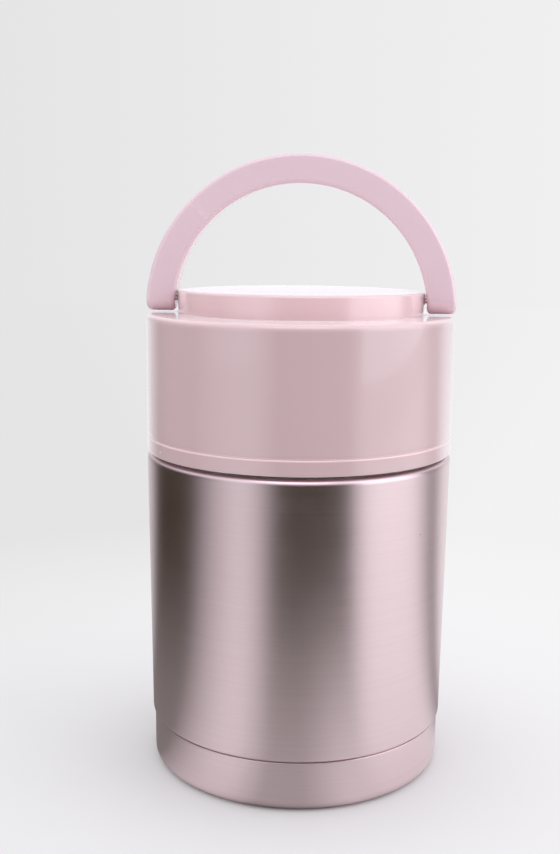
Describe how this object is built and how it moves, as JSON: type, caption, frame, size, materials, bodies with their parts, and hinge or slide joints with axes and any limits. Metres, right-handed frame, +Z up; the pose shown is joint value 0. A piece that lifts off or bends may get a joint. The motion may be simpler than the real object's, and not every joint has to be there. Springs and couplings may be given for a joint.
{
  "type": "insulated food jar",
  "caption": "Double-walled steel food jar with a vented stopper, an insulated lid that turns and lifts off, and a folding arched bail handle.",
  "frame": {"origin": "middle of the foot ring, on the floor", "axes": "+Z up along the jar's axis; X along the handle's hinge line; -Y is the front"},
  "size_m": [0.116, 0.115, 0.2306],
  "materials": {
    "rose_steel": "satin",
    "plain_steel": "satin",
    "sealing_glass": "gloss",
    "pink_plastic": "gloss",
    "white_plastic": "satin",
    "white_foam": "matte",
    "silicone": "matte"
  },
  "bodies": {
    "jar": {"outer_shell": "rose_steel", "inner_vessel": "plain_steel", "outer_bottom": "plain_steel", "vacuum_seal": "sealing_glass", "getter": "plain_steel", "base_cup": "rose_steel"},
    "lid_ring": {"lid_gasket": "silicone"},
    "lid": {"lid_cover": "pink_plastic", "lid_liner": "pink_plastic", "lid_foam": "white_foam"},
    "bail": {"handle": "pink_plastic", "pivot_pin_left": "plain_steel", "pivot_pin_right": "plain_steel"},
    "stopper_ring": {"stopper_gasket": "silicone"},
    "stopper": {"stopper_plug": "white_plastic", "stopper_cap": "white_plastic", "stopper_foam": "white_foam", "vent_spring": "plain_steel"},
    "vent": {"vent_button": "pink_plastic", "vent_stem": "plain_steel", "vent_seal": "silicone", "vent_washer": "white_plastic"}
  },
  "joints": [
    {"name": "lid_lift", "type": "slide", "parent": "jar", "child": "lid_ring", "axis": [0, 0, 1], "range_m": [0, 0.1]},
    {"name": "lid_turn", "type": "hinge", "parent": "lid_ring", "child": "lid", "pos_m": [0, 0, 0.1213], "axis": [0, 0, 1], "range_deg": [-60, 0]},
    {"name": "handle_fold", "type": "hinge", "parent": "lid", "child": "bail", "pos_m": [0, 0, 0.178], "axis": [1, 0, 0], "range_deg": [-90, 90]},
    {"name": "stopper_lift", "type": "slide", "parent": "jar", "child": "stopper_ring", "axis": [0, 0, 1], "range_m": [0, 0.021]},
    {"name": "stopper_turn", "type": "hinge", "parent": "stopper_ring", "child": "stopper", "pos_m": [0, 0, 0.1347], "axis": [0, 0, 1], "range_deg": [-60, 0]},
    {"name": "vent_press", "type": "slide", "parent": "stopper", "child": "vent", "axis": [0, 0, -1], "range_m": [0, 0.0025], "stiffness_N_per_m": 300, "springref_m": -0.002, "deforming": ["vent_spring"]}
  ]
}
